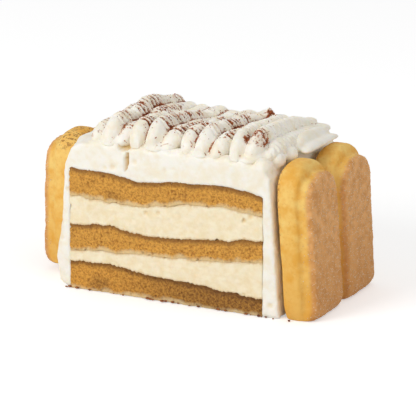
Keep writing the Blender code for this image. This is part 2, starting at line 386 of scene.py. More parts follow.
def face_outwards(piece, merge_mm=0.001):
    """Merges doubled points and turns every face outwards."""
    bm = bmesh.new()
    bm.from_mesh(piece.data)
    bmesh.ops.remove_doubles(bm, verts=bm.verts, dist=merge_mm * MM)
    bmesh.ops.recalc_face_normals(bm, faces=bm.faces)
    bm.to_mesh(piece.data)
    bm.free()


def read_points(piece):
    """A piece's points in millimetres, as rows of x, y and z."""
    flat = np.zeros(len(piece.data.vertices) * 3, np.float32)
    piece.data.vertices.foreach_get("co", flat)
    return flat.reshape(-1, 3).astype(float) / MM


def write_points(piece, points):
    piece.data.vertices.foreach_set("co", (points * MM).astype(np.float32).ravel())
    piece.data.update()


def write_mark(piece, label, values):
    """Stores one named value on each point."""
    mark = piece.data.attributes.get(label) or piece.data.attributes.new(label, "FLOAT", "POINT")
    mark.data.foreach_set("value", np.asarray(values, np.float32))


def finish_piece(piece, material, slot, *nodes):
    """Gives a piece its material and smooth shading, hangs it under the root body, and hides the imported nodes
    it stands in for.
    """
    piece.data.materials.clear()
    piece.data.materials.append(material)
    piece.data.shade_smooth()
    points = read_points(piece)
    points[:, 2] = np.maximum(points[:, 2], 0.0)
    write_points(piece, points)
    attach(piece, "root")
    if nodes:
        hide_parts(*nodes)
    triangles = sum(len(p.vertices) - 2 for p in piece.data.polygons)
    print(f"{piece.name}: {triangles} triangles")


def wave(values, size_mm, seed):
    """Smooth noise from -1 to 1 along a row of numbers."""
    return np.array([noise.noise(Vector((v / size_mm, seed * 7.3, seed * 3.1))) for v in values])


print("the mesh helpers are ready")

# %% [markdown]
# The stack. A knife has drawn five layers into one cut face, so the layers must share their borders: where
# crumbs of the sponge stick up, the cream above gives way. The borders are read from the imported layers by
# dropping rays on them, made ragged with noise, and then used twice, as the top of one layer and the
# underside of the next. Only the cut faces get a dense mesh, because the rest is hidden.

# %% Borders of the layers
LAYERS = ("sponge_bottom", "mascarpone_lower", "sponge_middle", "mascarpone_upper", "sponge_top")
CUT_STEP = 0.33
HALF_GAP = 0.15
SKIN_GAP = 0.02
TUCK = 0.45
FACE_ROWS = 32
DEPTH_ROWS = 12
SMOOTHING_MM = 5.0

along_x = np.arange(stack_low.x - TUCK, stack_high.x + TUCK, CUT_STEP)
along_y = np.linspace(FRONT, BACK, DEPTH_ROWS)


def top_of(node_name):
    """The heights of a packed layer's upper side over the whole stack."""
    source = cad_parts[node_name].data
    tree = BVHTree.FromPolygons([v.co / MM for v in source.vertices], [p.vertices for p in source.polygons])
    inset = 0.05
    rows = []
    for y in np.clip(along_y, FRONT + inset, BACK - inset):
        row = [tree.ray_cast(Vector((x, y, 200.0)), Vector((0, 0, -1)))[0].z
               for x in np.clip(along_x, stack_low.x + inset, stack_high.x - inset)]
        rows.append(row)
    return np.array(rows) + HALF_GAP


def smoothed(rows, window_mm):
    """Each row with a moving mean along X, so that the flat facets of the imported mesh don't show."""
    count = int(window_mm / CUT_STEP) | 1
    padded = np.pad(rows, ((0, 0), (count // 2, count // 2)), mode="edge")
    return np.array([np.convolve(row, np.ones(count) / count, "valid") for row in padded])


def ragged(seed, broad, fine):
    """Unevenness of a border over the whole stack."""

    def height(x, y):
        swell = noise.noise(Vector((x / 4.0, y / 5.0, seed)))
        return broad * swell + fine * noise.noise(Vector((x / 0.9, y, seed + 5.0)))

    return np.array([[height(x, y) for x in along_x] for y in along_y])


borders = [np.zeros((len(along_y), len(along_x)))]
for number, layer in enumerate(LAYERS):
    under_cream = layer.startswith("sponge")
    rough = ragged(number * 11.0 + 3.0, 0.6, 0.38) if under_cream else ragged(number * 11.0 + 3.0, 0.7, 0.3)
    borders.append(smoothed(top_of(layer), SMOOTHING_MM) + rough)
borders[-1] += TUCK
print("layers end at", [round(float(b.mean()), 1) for b in borders[1:]], "mm")


# %% A layer's mesh


def layer_piece(name, lower, upper):
    """A layer between two borders, dense at both cuts; rise and drop are millimetres to its edges."""
    deep = np.arange(len(along_y))
    up = np.linspace(0.0, 1.0, FACE_ROWS)
    loop = [(0, s) for s in up] + [(k, 1.0) for k in deep[1:-1]]
    loop += [(deep[-1], s) for s in up[::-1]] + [(k, 0.0) for k in deep[-2:0:-1]]
    rows = np.array([k for k, _ in loop])
    share = np.array([s for _, s in loop])[None, :]
    low = lower[rows, :].T + SKIN_GAP
    high = upper[rows, :].T - SKIN_GAP
    z = low + (high - low) * share
    x = np.repeat(along_x[:, None], len(loop), axis=1)
    y = np.repeat(along_y[rows][None, :], len(along_x), axis=0)
    on_cut = ((rows == 0) | (rows == deep[-1]))[None, :] * np.ones_like(z)
    faces = ring_faces(len(along_x), len(loop))
    last = len(along_x) * len(loop)
    faces += [list(range(len(loop)))[::-1], list(range(last - len(loop), last))]
    marks = {"carve": on_cut.ravel(), "rise": (z - low).ravel(), "drop": (high - z).ravel()}
    piece = to_piece(name, np.stack((x, y, z), -1).reshape(-1, 3), faces, marks)
    face_outwards(piece)
    return piece


# %% [markdown]
# Cake crumb is a foam of small torn bubbles. Its colour jumps from tone to tone within a millimetre, it is
# darker along its upper edge, where cocoa and coffee soaked in, and cream is smeared over its lower edge by
# the knife. The bottom layer stands in the syrup and is the darkest, most of all towards the right.

# %% Sponge material


def sponge_material(name, light, dark, soak_and_pit_shade, wet_share, wet_right=0.0):
    """Golden crumb; wet_share is how far the soak tone spreads, and wet_right how much more at the right. The
    soak tone also paints shade into the pits.
    """
    material, tree, surface, bump = food_material(name, 0.72, 0.25)
    crumb = between(tree, noise_value(tree, 0.9, 5.0, 0.8), 0.33, 0.60)
    colour = blend_colour(tree, crumb, dark, light)
    patch = between(tree, noise_value(tree, 9.0, 2.0, 0.5, shift=3.0), 0.62 - wet_share * 0.3, 0.78)
    across, _ = side_and_height(tree)
    rightwards = between(tree, across, stack_low.x * MM, stack_high.x * MM * 0.6)
    wetness = calc(tree, "MULTIPLY", rightwards, wet_right)
    patch = calc(tree, "MAXIMUM", calc(tree, "MULTIPLY", patch, 0.7), wetness)
    patch = calc(tree, "MULTIPLY", patch, calc(tree, "SUBTRACT", 1.0, calc(tree, "MULTIPLY", crumb, 0.45)))
    colour = blend_colour(tree, patch, colour, soak_and_pit_shade)
    ragged_drop = calc(tree, "ADD", attribute_value(tree, "drop"), noise_value(tree, 1.4, 3.0, 0.6, shift=1.0))
    edge = between(tree, ragged_drop, 2.9, 0.8)
    colour = blend_colour(tree, calc(tree, "MULTIPLY", edge, 0.75), colour, soak_and_pit_shade)
    smear = calc(tree, "SUBTRACT", attribute_value(tree, "rise"),
                 calc(tree, "MULTIPLY", noise_value(tree, 5.0, 2.0, 0.5, shift=7.0), 4.2))
    smeared = between(tree, smear, -0.2, -2.0)
    colour = blend_colour(tree, calc(tree, "MULTIPLY", smeared, 0.7), colour, CREAM_SMEAR)
    # Painted shade: the pits are darkened towards the soak tone.
    pit = calc(tree, "MULTIPLY", attribute_value(tree, "pit"), 0.35)
    colour = blend_colour(tree, pit, colour, soak_and_pit_shade)
    tree.links.new(colour, surface.inputs["Base Color"])
    tree.links.new(noise_value(tree, 0.5, 3.0, 0.7), bump.inputs["Height"])
    return material


CREAM_SMEAR = screen(238, 214, 165)
sponge_paint = sponge_material(
    "golden_sponge", screen(230, 170, 74), screen(166, 106, 36), screen(120, 76, 34), 0.3
)
soaked_paint = sponge_material(
    "soaked_sponge", screen(232, 170, 72), screen(168, 106, 34), screen(100, 60, 22), 0.35, 0.95
)

# %% Sponge layers
for number, layer in enumerate(LAYERS):
    if not layer.startswith("sponge"):
        continue
    piece = layer_piece(f"crumb_{layer.split('_')[1]}", borders[number], borders[number + 1])
    run_tree(piece, RELIEF, {"Lump Size": 0.0035, "Lump Height": 0.00045, "Grain Size": 0.0011,
                             "Grain Height": 0.0004, "Pit Size": 0.0013, "Pit Depth": 0.0005,
                             "Pit Share": 0.45, "Seed": 2.0 + number})
    wet = layer == "sponge_bottom"
    finish_piece(piece, soaked_paint if wet else sponge_paint, "soaked_sponge" if wet else "sponge", layer)

# %% [markdown]
# Mascarpone cream is dense and pale yellow. The knife pulls it along, so it shows soft ridges and a few
# torn pores rather than a crumb, and it takes a little colour from the sponge at its edges.

# %% Mascarpone layers


def mascarpone_material():
    """Pale yellow cream with painted shade in its hollows and stained edges."""
    material, tree, surface, bump = food_material("mascarpone", 0.5, 0.10)
    tone = between(tree, noise_value(tree, 3.5, 3.0, 0.6), 0.35, 0.7)
    colour = blend_colour(tree, tone, screen(252, 238, 208), screen(245, 226, 186))
    edge = calc(tree, "MINIMUM", attribute_value(tree, "drop"), attribute_value(tree, "rise"))
    near = calc(tree, "SUBTRACT", edge, calc(tree, "MULTIPLY", noise_value(tree, 1.6, 3.0, 0.7), 1.6))
    stain = calc(tree, "MULTIPLY", between(tree, near, 0.1, -0.9), 0.55)
    colour = blend_colour(tree, stain, colour, screen(214, 170, 104))
    # Painted shade: the pits are tinted darker and warmer.
    pit = calc(tree, "MULTIPLY", attribute_value(tree, "pit"), 0.55)
    colour = blend_colour(tree, pit, colour, screen(222, 190, 126))
    tree.links.new(colour, surface.inputs["Base Color"])
    tree.links.new(noise_value(tree, 0.8, 2.0, 0.5, stretch=(0.5, 1.0, 1.0)), bump.inputs["Height"])
    return material


mascarpone_paint = mascarpone_material()
for number, layer in enumerate(LAYERS):
    if not layer.startswith("mascarpone"):
        continue
    piece = layer_piece(f"cream_layer_{layer.split('_')[1]}", borders[number], borders[number + 1])
    run_tree(piece, RELIEF, {"Lump Size": 0.005, "Lump Height": 0.0005, "Grain Size": 0.0016,
                             "Grain Height": 0.0003, "Pit Size": 0.0026, "Pit Depth": 0.0008,
                             "Pit Share": 0.14, "Seed": 9.0 + number})
    finish_piece(piece, mascarpone_paint, "mascarpone", layer)

# %% [markdown]
# A ladyfinger is piped, dusted with sugar and baked. Its sides stay yellow and bulge, while its top bakes to
# a tan crust that lifts a little and ends in a rounded lip. The body is a loft: one outline across the
# finger, repeated up its length and closed over at the tip. The crust is the same mesh pushed out wherever a
# point lies inside the crust's own arch, so the lip follows from one distance.

# %% Ladyfinger mesh
FINGER_POINTS = 190
FINGER_STEP = 0.42
FINGER_THICK = 11.0
CRUST_LIFT = 3.0
CRUST_MARGIN = 1.7
CRUST_BELOW_TIP = 3.4
LIP = 1.5
TIP_ROUND = 13.0
TIP_ROUND_THICK = 7.5
FOOT_ROUND = 5.5
FINGER_WIDTH = 27.4
GROOVE = 0.35


def finger_piece(name, node_name, outwards, lean, seed):
    """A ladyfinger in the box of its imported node; outwards is +1 where its crust looks along +X, else -1."""
    low, high = place_of(node_name)
    half = FINGER_WIDTH / 2
    middle_y = low.y + half
    length = high.z - low.z
    inner_x = high.x if outwards < 0 else low.x + lean * length
    levels = np.arange(0.0, length - TIP_ROUND, FINGER_STEP)
    turns = np.linspace(0.0, math.pi / 2, 46)[:-1]
    levels = np.concatenate((levels, length - TIP_ROUND + TIP_ROUND * np.sin(turns), [length]))
    angle = np.linspace(0, 2 * math.pi, FINGER_POINTS, endpoint=False)
    across, out = np.sin(angle), -np.cos(angle)
    round_y = np.sign(across) * np.abs(across) ** 0.52
    round_x = np.sign(out) * np.abs(out) ** 0.56
    points, crust_marks = [], []
    for z in levels:
        past = max(0.0, (z - (length - TIP_ROUND)) / TIP_ROUND)
        wide = (1 - past**2.3) ** (1 / 2.3) if past < 1 else 0.0
        below_tip = min(1.0, (length - z) / TIP_ROUND_THICK)
        thick = FINGER_THICK * (0.30 + 0.70 * math.sqrt(1 - (1 - below_tip) ** 2))
        foot = 1 - 0.09 * max(0.0, 1 - z / FOOT_ROUND) ** 2
        swell = 1 + 0.018 * math.sin(z * 0.21 + seed) + 0.012 * math.sin(z * 0.47 + 2 * seed)
        y = round_y * half * wide * foot * min(swell, 1.0)
        x = FINGER_THICK * 0.47 + thick / 2 * round_x * foot
        crust_tip = length - CRUST_BELOW_TIP
        crust_half = half - CRUST_MARGIN
        above = max(0.0, (z - (crust_tip - crust_half)) / crust_half)
        wander = 0.05 * np.array([noise.noise(Vector((yy / 5, z / 6, seed))) for yy in y])
        inside = 1 - (np.abs(y / crust_half) ** 2.6 + above**2.6) ** (1 / 2.6) + wander
        depth = np.clip(inside * crust_half / LIP, 0, 1)
        lip = np.sqrt(1 - (1 - depth) ** 2) * (round_x > 0)
        groove = np.exp(-(((inside * crust_half + 0.6) / 0.7) ** 2)) * (round_x > 0)
        crust_foot = 0.35 + 0.65 * math.sqrt(1 - (1 - min(1.0, z / FOOT_ROUND)) ** 2)
        flatten = 0.55 * (FINGER_THICK - np.minimum(x, FINGER_THICK)) * (x > 4)
        x = x + lip * crust_foot * (CRUST_LIFT + flatten) - GROOVE * groove
        world_x = inner_x + outwards * (x - lean * z)
        points.append(np.stack((world_x, middle_y + y, np.full_like(y, low.z + z)), -1))
        crust_marks.append(lip)
    cloud = np.concatenate(points)
    crust = np.concatenate(crust_marks)
    faces = ring_faces(len(levels), FINGER_POINTS) + [list(range(FINGER_POINTS))[::-1]]
    cloud[:, 1] = np.clip(cloud[:, 1], FRONT, BACK)
    inner = np.clip(1.6 - np.abs(cloud[:, 0] - inner_x + outwards * lean * (cloud[:, 2] - low.z)) / 1.6, 0, 1)
    tip = np.clip((cloud[:, 2] - low.z - length + 6.5) / 3.0, 0, 1)
    near_cut = cloud[:, 1] < FRONT + 6.0
    stained = inner * np.clip((cloud[:, 2] - 24.0) / 10.0, 0, 1) * near_cut
    stained = stained + 0.75 * tip * (outwards < 0) * (1 - crust)
    marks = {"carve": 0.55 + 0.45 * crust, "crust": crust, "cocoa": np.clip(stained, 0, 1)}
    piece = to_piece(name, cloud, faces, marks)
    face_outwards(piece)
    return piece


def biscuit_material():
    """Yellow sides and a tan crust, split by the value crust that the mesh carries."""
    material, tree, surface, bump = food_material("ladyfinger", 0.68, 0.12, 0.1)
    sides = blend_colour(tree, between(tree, noise_value(tree, 7.0, 3.0, 0.6), 0.35, 0.7),
                         screen(251, 210, 120), screen(240, 178, 72))
    _, height = side_and_height(tree)
    low_down = calc(tree, "MULTIPLY", between(tree, height, 0.036, 0.004), 0.5)
    sides = blend_colour(tree, low_down, sides, screen(226, 160, 52))
    pore = between(tree, noise_value(tree, 0.8, 3.0, 0.7, shift=4.0), 0.56, 0.72)
    sides = blend_colour(tree, calc(tree, "MULTIPLY", pore, 0.35), sides, screen(206, 144, 58))
    baked = blend_colour(tree, between(tree, noise_value(tree, 3.0, 4.0, 0.65, shift=2.0), 0.35, 0.68),
                         screen(238, 178, 112), screen(212, 148, 80))
    baked = blend_colour(tree, low_down, baked, screen(196, 132, 62))
    sugar = between(tree, noise_value(tree, 0.7, 2.0, 0.7, shift=9.0), 0.60, 0.70)
    baked = blend_colour(tree, calc(tree, "MULTIPLY", sugar, 0.45), baked, screen(232, 206, 170))
    on_crust = attribute_value(tree, "crust")
    colour = blend_colour(tree, between(tree, on_crust, 0.35, 0.8), sides, baked)
    flecked = between(tree, noise_value(tree, 1.1, 3.0, 0.7), 0.50, 0.60)
    fleck = calc(tree, "MULTIPLY", attribute_value(tree, "cocoa"), flecked)
    colour = blend_colour(tree, fleck, colour, screen(136, 74, 38))
    tree.links.new(colour, surface.inputs["Base Color"])
    tree.links.new(noise_value(tree, 0.45, 3.0, 0.7), bump.inputs["Height"])
    return material


biscuit_paint = biscuit_material()
RIGHT_FRONT_LEAN, RIGHT_BACK_LEAN, LEFT_LEAN = 0.075, 0.055, 0.02
FINGERS = (
    ("ladyfinger_right_front", 1, RIGHT_FRONT_LEAN),
    ("ladyfinger_right_back", 1, RIGHT_BACK_LEAN),
    ("ladyfinger_left_front", -1, LEFT_LEAN),
    ("ladyfinger_left_back", -1, LEFT_LEAN),
)
biscuits = []
for number, (node_name, outwards, lean) in enumerate(FINGERS):
    name = node_name.replace("ladyfinger", "biscuit")
    piece = finger_piece(name, node_name, outwards, lean, 1.7 * number + 1)
    run_tree(piece, RELIEF, {"Lump Size": 0.004, "Lump Height": 0.00028, "Grain Size": 0.0010,
                             "Grain Height": 0.00016, "Pit Size": 0.0012, "Pit Depth": 0.00018,
                             "Pit Share": 0.35, "Seed": 20.0 + number})
    finish_piece(piece, biscuit_paint, "biscuit", node_name)
    biscuits.append(piece)

# %% [markdown]
# Whipped cream has no edges of its own: the knife and the palette knife leave soft swells, a torn crack and
# a small hollow under the first stroke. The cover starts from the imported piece, is remeshed into small even
# squares, and is then pressed in where the cream tore.

# %% Cream cover
COVER_VOXEL = 0.55


def remesh(piece, voxel_mm, rounds):
    """Joins all that a piece holds into one even skin, and softens it."""
    skin = piece.modifiers.new("skin", "REMESH")
    skin.mode = "VOXEL"
    skin.voxel_size = voxel_mm * MM
    soft = piece.modifiers.new("soft", "SMOOTH")
    soft.factor = 0.5
    soft.iterations = rounds
    keep_result(piece)


def press_in(points, x, z, wide, tall, depth, lean=0.0):
    """Presses a dent into the front cut, with a fairly steep wall."""
    near_cut = points[:, 1] < FRONT + 5.0
    along = (points[:, 0] - x - lean * (points[:, 2] - z)) / wide
    up = (points[:, 2] - z) / tall
    reach = np.sqrt(along**2 + up**2)
    share = np.clip((1.25 - reach) / 0.5, 0, 1)
    points[:, 1] += near_cut * depth * share * share * (3 - 2 * share)


def cream_material(name, warmth):
    """Whipped cream: near white, with painted shade in its pits and in the hollows that the mesh marks, and
    brown wherever the mesh carries cocoa, whose pale film is also painted shade on upward faces.
    """
    material, tree, surface, bump = food_material(name, 0.48, 0.10)
    tone = between(tree, noise_value(tree, 5.0, 3.0, 0.6), 0.38, 0.72)
    warmer = calc(tree, "MULTIPLY", tone, warmth)
    colour = blend_colour(tree, warmer, screen(254, 249, 238), screen(245, 231, 200))
    # Painted shade: pits, dents and the left end of the coat, as the mesh marks them, are tinted darker and
    # warmer.
    pit = calc(tree, "MULTIPLY", attribute_value(tree, "pit"), 0.5)
    colour = blend_colour(tree, pit, colour, screen(238, 216, 166))
    colour = blend_colour(tree, attribute_value(tree, "warm"), colour, screen(226, 190, 118))
    cocoa = attribute_value(tree, "cocoa")
    speckle = calc(tree, "SUBTRACT", noise_value(tree, 0.55, 3.0, 0.7, shift=5.0), 0.5)
    grainy = calc(tree, "ADD", cocoa, calc(tree, "MULTIPLY", speckle, 1.3))
    # A thin cocoa film that is also painted shade: it greys the upward faces of the strokes as shade would.
    film_and_shade = calc(tree, "MULTIPLY", between(tree, cocoa, 0.0, 0.6), 0.7)
    colour = blend_colour(tree, film_and_shade, colour, screen(216, 182, 150))
    powder = between(tree, grainy, 0.40, 0.62)
    powder = calc(tree, "MULTIPLY", powder, between(tree, cocoa, 0.08, 0.3))
    dark = between(tree, noise_value(tree, 1.2, 2.0, 0.6, shift=8.0), 0.4, 0.65)
    brown = blend_colour(tree, dark, screen(186, 104, 52), screen(122, 58, 28))
    colour = blend_colour(tree, powder, colour, brown)
    tree.links.new(colour, surface.inputs["Base Color"])
    tree.links.new(noise_value(tree, 0.9, 2.0, 0.5), bump.inputs["Height"])
    return material


def join_shapes(piece, *others):
    """Adds other meshes to a piece, and removes their objects."""
    bm = bmesh.new()
    for part in (piece, *others):
        bm.from_mesh(part.data)
    bm.to_mesh(piece.data)
    bm.free()
    for part in others:
        bpy.data.objects.remove(part)


def lump(place_mm, radii_mm, rounds=3):
    """A round lump of cream, to be joined to a bigger piece."""
    bm = bmesh.new()
    bmesh.ops.create_icosphere(bm, subdivisions=rounds, radius=1.0)
    for vert in bm.verts:
        vert.co = Vector([p + c * r for p, c, r in zip(place_mm, vert.co, radii_mm)]) * MM
    mesh = bpy.data.meshes.new("lump")
    bm.to_mesh(mesh)
    bm.free()
    made = bpy.data.objects.new("lump", mesh)
    bpy.context.scene.collection.objects.link(made)
    return made


cream_paint = cream_material("whipped_cream", 0.6)
cover = bpy.data.objects.new("whipped_cover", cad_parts["cream_cover"].data.copy())
bpy.context.scene.collection.objects.link(cover)
face_outwards(cover)
RIGHT_LUMPS = (
    ((37.5, -24.6, 54.6), (3.6, 3.4, 3.0)),
    ((39.6, -17.5, 55.4), (3.2, 3.6, 3.2)),
    ((41.2, -10.5, 55.8), (2.9, 3.2, 3.0)),
)
FRONT_LUMP_PLACES = (-27, -19, -9.5, -1, 5.5, 11, 18, 24, 30)
FRONT_LUMPS = tuple(((x, FRONT + 3.1, 54.9), (4.6, 3.1, 2.2)) for x in FRONT_LUMP_PLACES)
join_shapes(cover, *[lump(place, radii) for place, radii in RIGHT_LUMPS + FRONT_LUMPS])
remesh(cover, COVER_VOXEL, 3)
shape = read_points(cover)
before = shape.copy()
press_in(shape, -15.2, 50.4, 0.75, 3.2, 2.6, 0.12)
press_in(shape, -16.4, 56.0, 2.0, 1.7, 3.6)
press_in(shape, 4.6, 44.9, 0.9, 0.35, 0.8)
pressed = np.clip((shape[:, 1] - before[:, 1]) / 1.6, 0, 1)
foot = np.exp(-(((shape[:, 2] - 13.0) / 6.5) ** 2)) * (shape[:, 0] < -39.5) * (shape[:, 1] < FRONT + 12)
shape[:, 0] -= 1.1 * foot
shape[:, 1] = np.clip(shape[:, 1], FRONT, BACK)
write_points(cover, shape)
write_mark(cover, "carve", np.ones(len(shape)))
# Painted shade: the pressed dents and a band on the left end of the coat get a warm yellow tint where shade
# falls.
left_shade = 0.4 * np.exp(-(((shape[:, 2] - 28.0) / 12.0) ** 2)) * np.clip((-40.5 - shape[:, 0]) / 2.0, 0, 1)
write_mark(cover, "warm", np.clip(0.85 * pressed + left_shade, 0, 1))
write_mark(cover, "cocoa", np.zeros(len(shape)))
run_tree(cover, RELIEF, {"Lump Size": 0.007, "Lump Height": 0.0006, "Grain Size": 0.0018,
                         "Grain Height": 0.00022, "Pit Size": 0.003, "Pit Depth": 0.0006,
                         "Pit Share": 0.12, "Seed": 31.0})
finish_piece(cover, cream_paint, "whipped_cream", "cream_cover")

# %% [markdown]
# The strokes come from a bag with a big star nozzle. Each stroke is a bundle of long flutes that start in a
# round nose at the cut and run back side by side. The first tree, piping, sweeps a round section along each
# flute's line. The flutes of a stroke then melt into one skin by remeshing. The second tree, ribs, presses
# sharp valleys across them, as a shaking hand does, and remembers where the valleys are for the cocoa.

# %% Piping tree


def piping_tree():
    """Sweeps a round section along every line of points, as wide and tall as the points' own values say."""
    tree, given = new_tree("piping", {"Spacing": 0.0004, "Corners": 28, "Material": None})
    path = node(tree, "GeometryNodeMeshToCurve", {"Mesh": given[0]}).outputs[0]
    even = node(tree, "GeometryNodeResampleCurve", {"Curve": path, "Length": given["Spacing"]}, mode="LENGTH")
    upright = node(tree, "GeometryNodeSetCurveNormal", {"Curve": even.outputs[0]}, mode="Z_UP").outputs[0]
    place = node(tree, "GeometryNodeInputPosition").outputs[0]
    kept = node(tree, "GeometryNodeStoreNamedAttribute", {"Geometry": upright, "Name": "spine", "Value": place},
                data_type="FLOAT_VECTOR", domain="POINT").outputs[0]
    ring = node(tree, "GeometryNodeCurvePrimitiveCircle", {"Resolution": given["Corners"], "Radius": 1.0})
    tube = node(tree, "GeometryNodeCurveToMesh",
                {"Curve": kept, "Profile Curve": ring.outputs[0], "Fill Caps": True}).outputs[0]
    spine = node(tree, "GeometryNodeInputNamedAttribute", {"Name": "spine"}, data_type="FLOAT_VECTOR")
    spine = spine.outputs[0]
    sizes = [node(tree, "GeometryNodeInputNamedAttribute", {"Name": label}, data_type="FLOAT").outputs[0]
             for label in ("wide", "tall")]
    away = node(tree, "ShaderNodeVectorMath", {0: place, 1: spine}, operation="SUBTRACT").outputs[0]
    aim = node(tree, "ShaderNodeVectorMath", {0: away}, operation="NORMALIZE").outputs[0]
    size = node(tree, "ShaderNodeCombineXYZ", {0: sizes[0], 1: sizes[0], 2: sizes[1]}).outputs[0]
    reach = node(tree, "ShaderNodeVectorMath", {0: aim, 1: size}, operation="MULTIPLY").outputs[0]
    spot = node(tree, "ShaderNodeVectorMath", {0: spine, 1: reach}, operation="ADD").outputs[0]
    shaped = node(tree, "GeometryNodeSetPosition", {"Geometry": tube, "Position": spot}).outputs[0]
    real = node(tree, "GeometryNodeRealizeInstances", {0: shaped}).outputs[0]
    painted = node(tree, "GeometryNodeSetMaterial", {"Geometry": real, "Material": given["Material"]})
    end_tree(tree, painted.outputs[0])
    return tree


def ribs_tree():
    """Presses sharp valleys across a stroke, every pitch of its value named run, and stores them as valley."""
    tree, given = new_tree("ribs", {"Pitch": 0.0024, "Depth": 0.0005, "Shake": 0.9, "Sharpness": 7.0})
    place = node(tree, "GeometryNodeInputPosition").outputs[0]
    normal = node(tree, "GeometryNodeInputNormal").outputs[0]
    run = node(tree, "GeometryNodeInputNamedAttribute", {"Name": "run"}, data_type="FLOAT").outputs[0]
    ripple = node(tree, "GeometryNodeInputNamedAttribute", {"Name": "ripple"}, data_type="FLOAT").outputs[0]
    cloud = node(tree, "ShaderNodeTexNoise", {"Vector": place, "Scale": 260.0, "Detail": 1.0}).outputs[0]
    shaken = calc(tree, "MULTIPLY", calc(tree, "SUBTRACT", cloud, 0.5), given["Shake"])
    turns = calc(tree, "ADD", calc(tree, "DIVIDE", run, given["Pitch"]), calc(tree, "MULTIPLY", shaken, 2.0))
    swing = calc(tree, "ABSOLUTE", calc(tree, "COSINE", calc(tree, "MULTIPLY", turns, math.pi)))
    valley = calc(tree, "MULTIPLY", calc(tree, "POWER", swing, given["Sharpness"]), ripple)
    marked = node(
        tree, "GeometryNodeStoreNamedAttribute", {"Geometry": given[0], "Name": "valley", "Value": valley},
        data_type="FLOAT", domain="POINT",
    ).outputs[0]
    sink = calc(tree, "MULTIPLY", calc(tree, "MULTIPLY", valley, given["Depth"]), -1.0)
    push = node(tree, "ShaderNodeVectorMath", {0: normal, "Scale": sink}, operation="SCALE").outputs[0]
    end_tree(tree, node(tree, "GeometryNodeSetPosition", {"Geometry": marked, "Offset": push}).outputs[0])
    return tree


PIPING, RIBS = piping_tree(), ribs_tree()
print("piping and ribs hold", len(PIPING.nodes), "and", len(RIBS.nodes), "nodes")

# %% The strokes' flutes
STROKE_BASE = COVER_TOP - 0.5
NOSE = 8.5
FLUTE_SPACING = 0.5
STROKE_VOXEL = 0.42

# Millimetres. A flute is (sideways from the stroke's middle, share of its height, distance of its nose from
# the cut), and crest gives the stroke's height above the cover at places from the front cut to the back cut.
STROKES = {
    "piped_cream_1": {
        "middle": -23.2, "drift": 0.0, "wide": 3.6, "dust": 0.95,
        "crest": ((-28, 10.0), (-20, 11.0), (-9, 10.0), (-3, 10.6), (1, 12.0), (8, 11.4), (17, 8.6), (28, 6.8)),
        "flutes": ((-5.4, 0.66, 2.6), (0.5, 1.0, 1.6), (6.0, 0.70, 2.6)),
    },
    "piped_cream_2": {
        "middle": -4.8, "drift": 0.0, "wide": 3.6, "dust": 1.0,
        "crest": ((-28, 11.4), (-20, 11.8), (-3.5, 9.8), (16, 5.0), (28, 4.6)),
        "flutes": ((-7.0, 0.92, 0.6), (-0.2, 1.0, 0.9), (5.9, 0.72, 2.4)),
    },
    "piped_cream_3": {
        "middle": 13.6, "drift": 0.0, "wide": 3.5, "dust": 1.25,
        "crest": ((-28, 10.6), (-20, 11.0), (-4.6, 9.6), (5.4, 8.4), (14, 6.4), (28, 5.2)),
        "flutes": ((-5.8, 0.86, 2.0), (0.9, 1.0, 0.7), (6.9, 0.78, 1.4)),
        "tips": ((17.5, 20.5, 26.0, 8.6, 1.5, 71.0),),
    },
    "piped_cream_4": {
        "middle": 32.0, "drift": -1.7, "wide": 3.4, "dust": 0.16,
        "crest": ((-28, 11.2), (-20, 11.6), (-2.3, 10.6), (10, 9.0), (16, 7.2), (22, 5.2), (28, 4.2)),
        "flutes": ((-4.6, 0.94, 0.6), (1.8, 1.0, 2.6), (6.4, 0.62, 6.0)),
    },
}


def flute_path(stroke, flute, seed):
    """A flute's line from nose to back: rows of its middle point, its half width and its half height."""
    sideways, share, setback = flute
    far = np.arange(0.0, DEPTH - setback, FLUTE_SPACING)
    y = FRONT + setback + far
    nose = np.sqrt(1 - (1 - np.clip(far / NOSE, 0, 1)) ** 2)
    stations, heights = zip(*stroke["crest"])
    crest = np.interp(y, stations, heights) * share
    crest = crest * (0.18 + 0.82 * nose) + 0.35 * wave(far, 7.0, seed)
    wide = stroke["wide"] * (0.42 + 0.58 * nose) * (1 + 0.10 * wave(far, 9.0, seed + 4))
    x = stroke["middle"] + stroke["drift"] * far / DEPTH + sideways * (0.80 + 0.20 * nose)
    x = x + 0.7 * wave(far, 11.0, seed + 9) - 1.2 * (1 - nose)
    tall = (crest + 0.5) / 2
    return np.stack((x, y, STROKE_BASE + tall, wide, tall), -1)


def short_path(x, start, end, crest, wide, seed):
    """A short lobe that is round at both ends: its middle x, where it starts and ends, its height and width."""
    far = np.arange(0.0, end - start, FLUTE_SPACING)
    place = far / far[-1]
    round_end = np.sqrt(np.clip(1 - np.abs(2 * place - 1) ** 3.2, 0, 1))
    heights = crest * (0.25 + 0.75 * round_end) * (1 - 0.28 * place)
    tall = heights / 2
    sway = x + 0.3 * wave(far, 8.0, seed)
    return np.stack((sway, start + far, COVER_TOP + tall, wide * (0.5 + 0.5 * round_end), tall), -1)


def lines_piece(name, paths):
    """One mesh of separate lines, with the values that the piping tree reads."""
    rows = np.concatenate(paths)
    ends = np.cumsum([len(path) for path in paths]) - 1
    edges = [(k, k + 1) for k in range(len(rows) - 1) if k not in ends]
    mesh = bpy.data.meshes.new(name)
    mesh.from_pydata((rows[:, :3] * MM).tolist(), edges, [])
    for column, label in ((3, "wide"), (4, "tall")):
        values = (rows[:, column] * MM).astype(np.float32)
        mesh.attributes.new(label, "FLOAT", "POINT").data.foreach_set("value", values)
    piece = bpy.data.objects.new(name, mesh)
    bpy.context.scene.collection.objects.link(piece)
    return piece


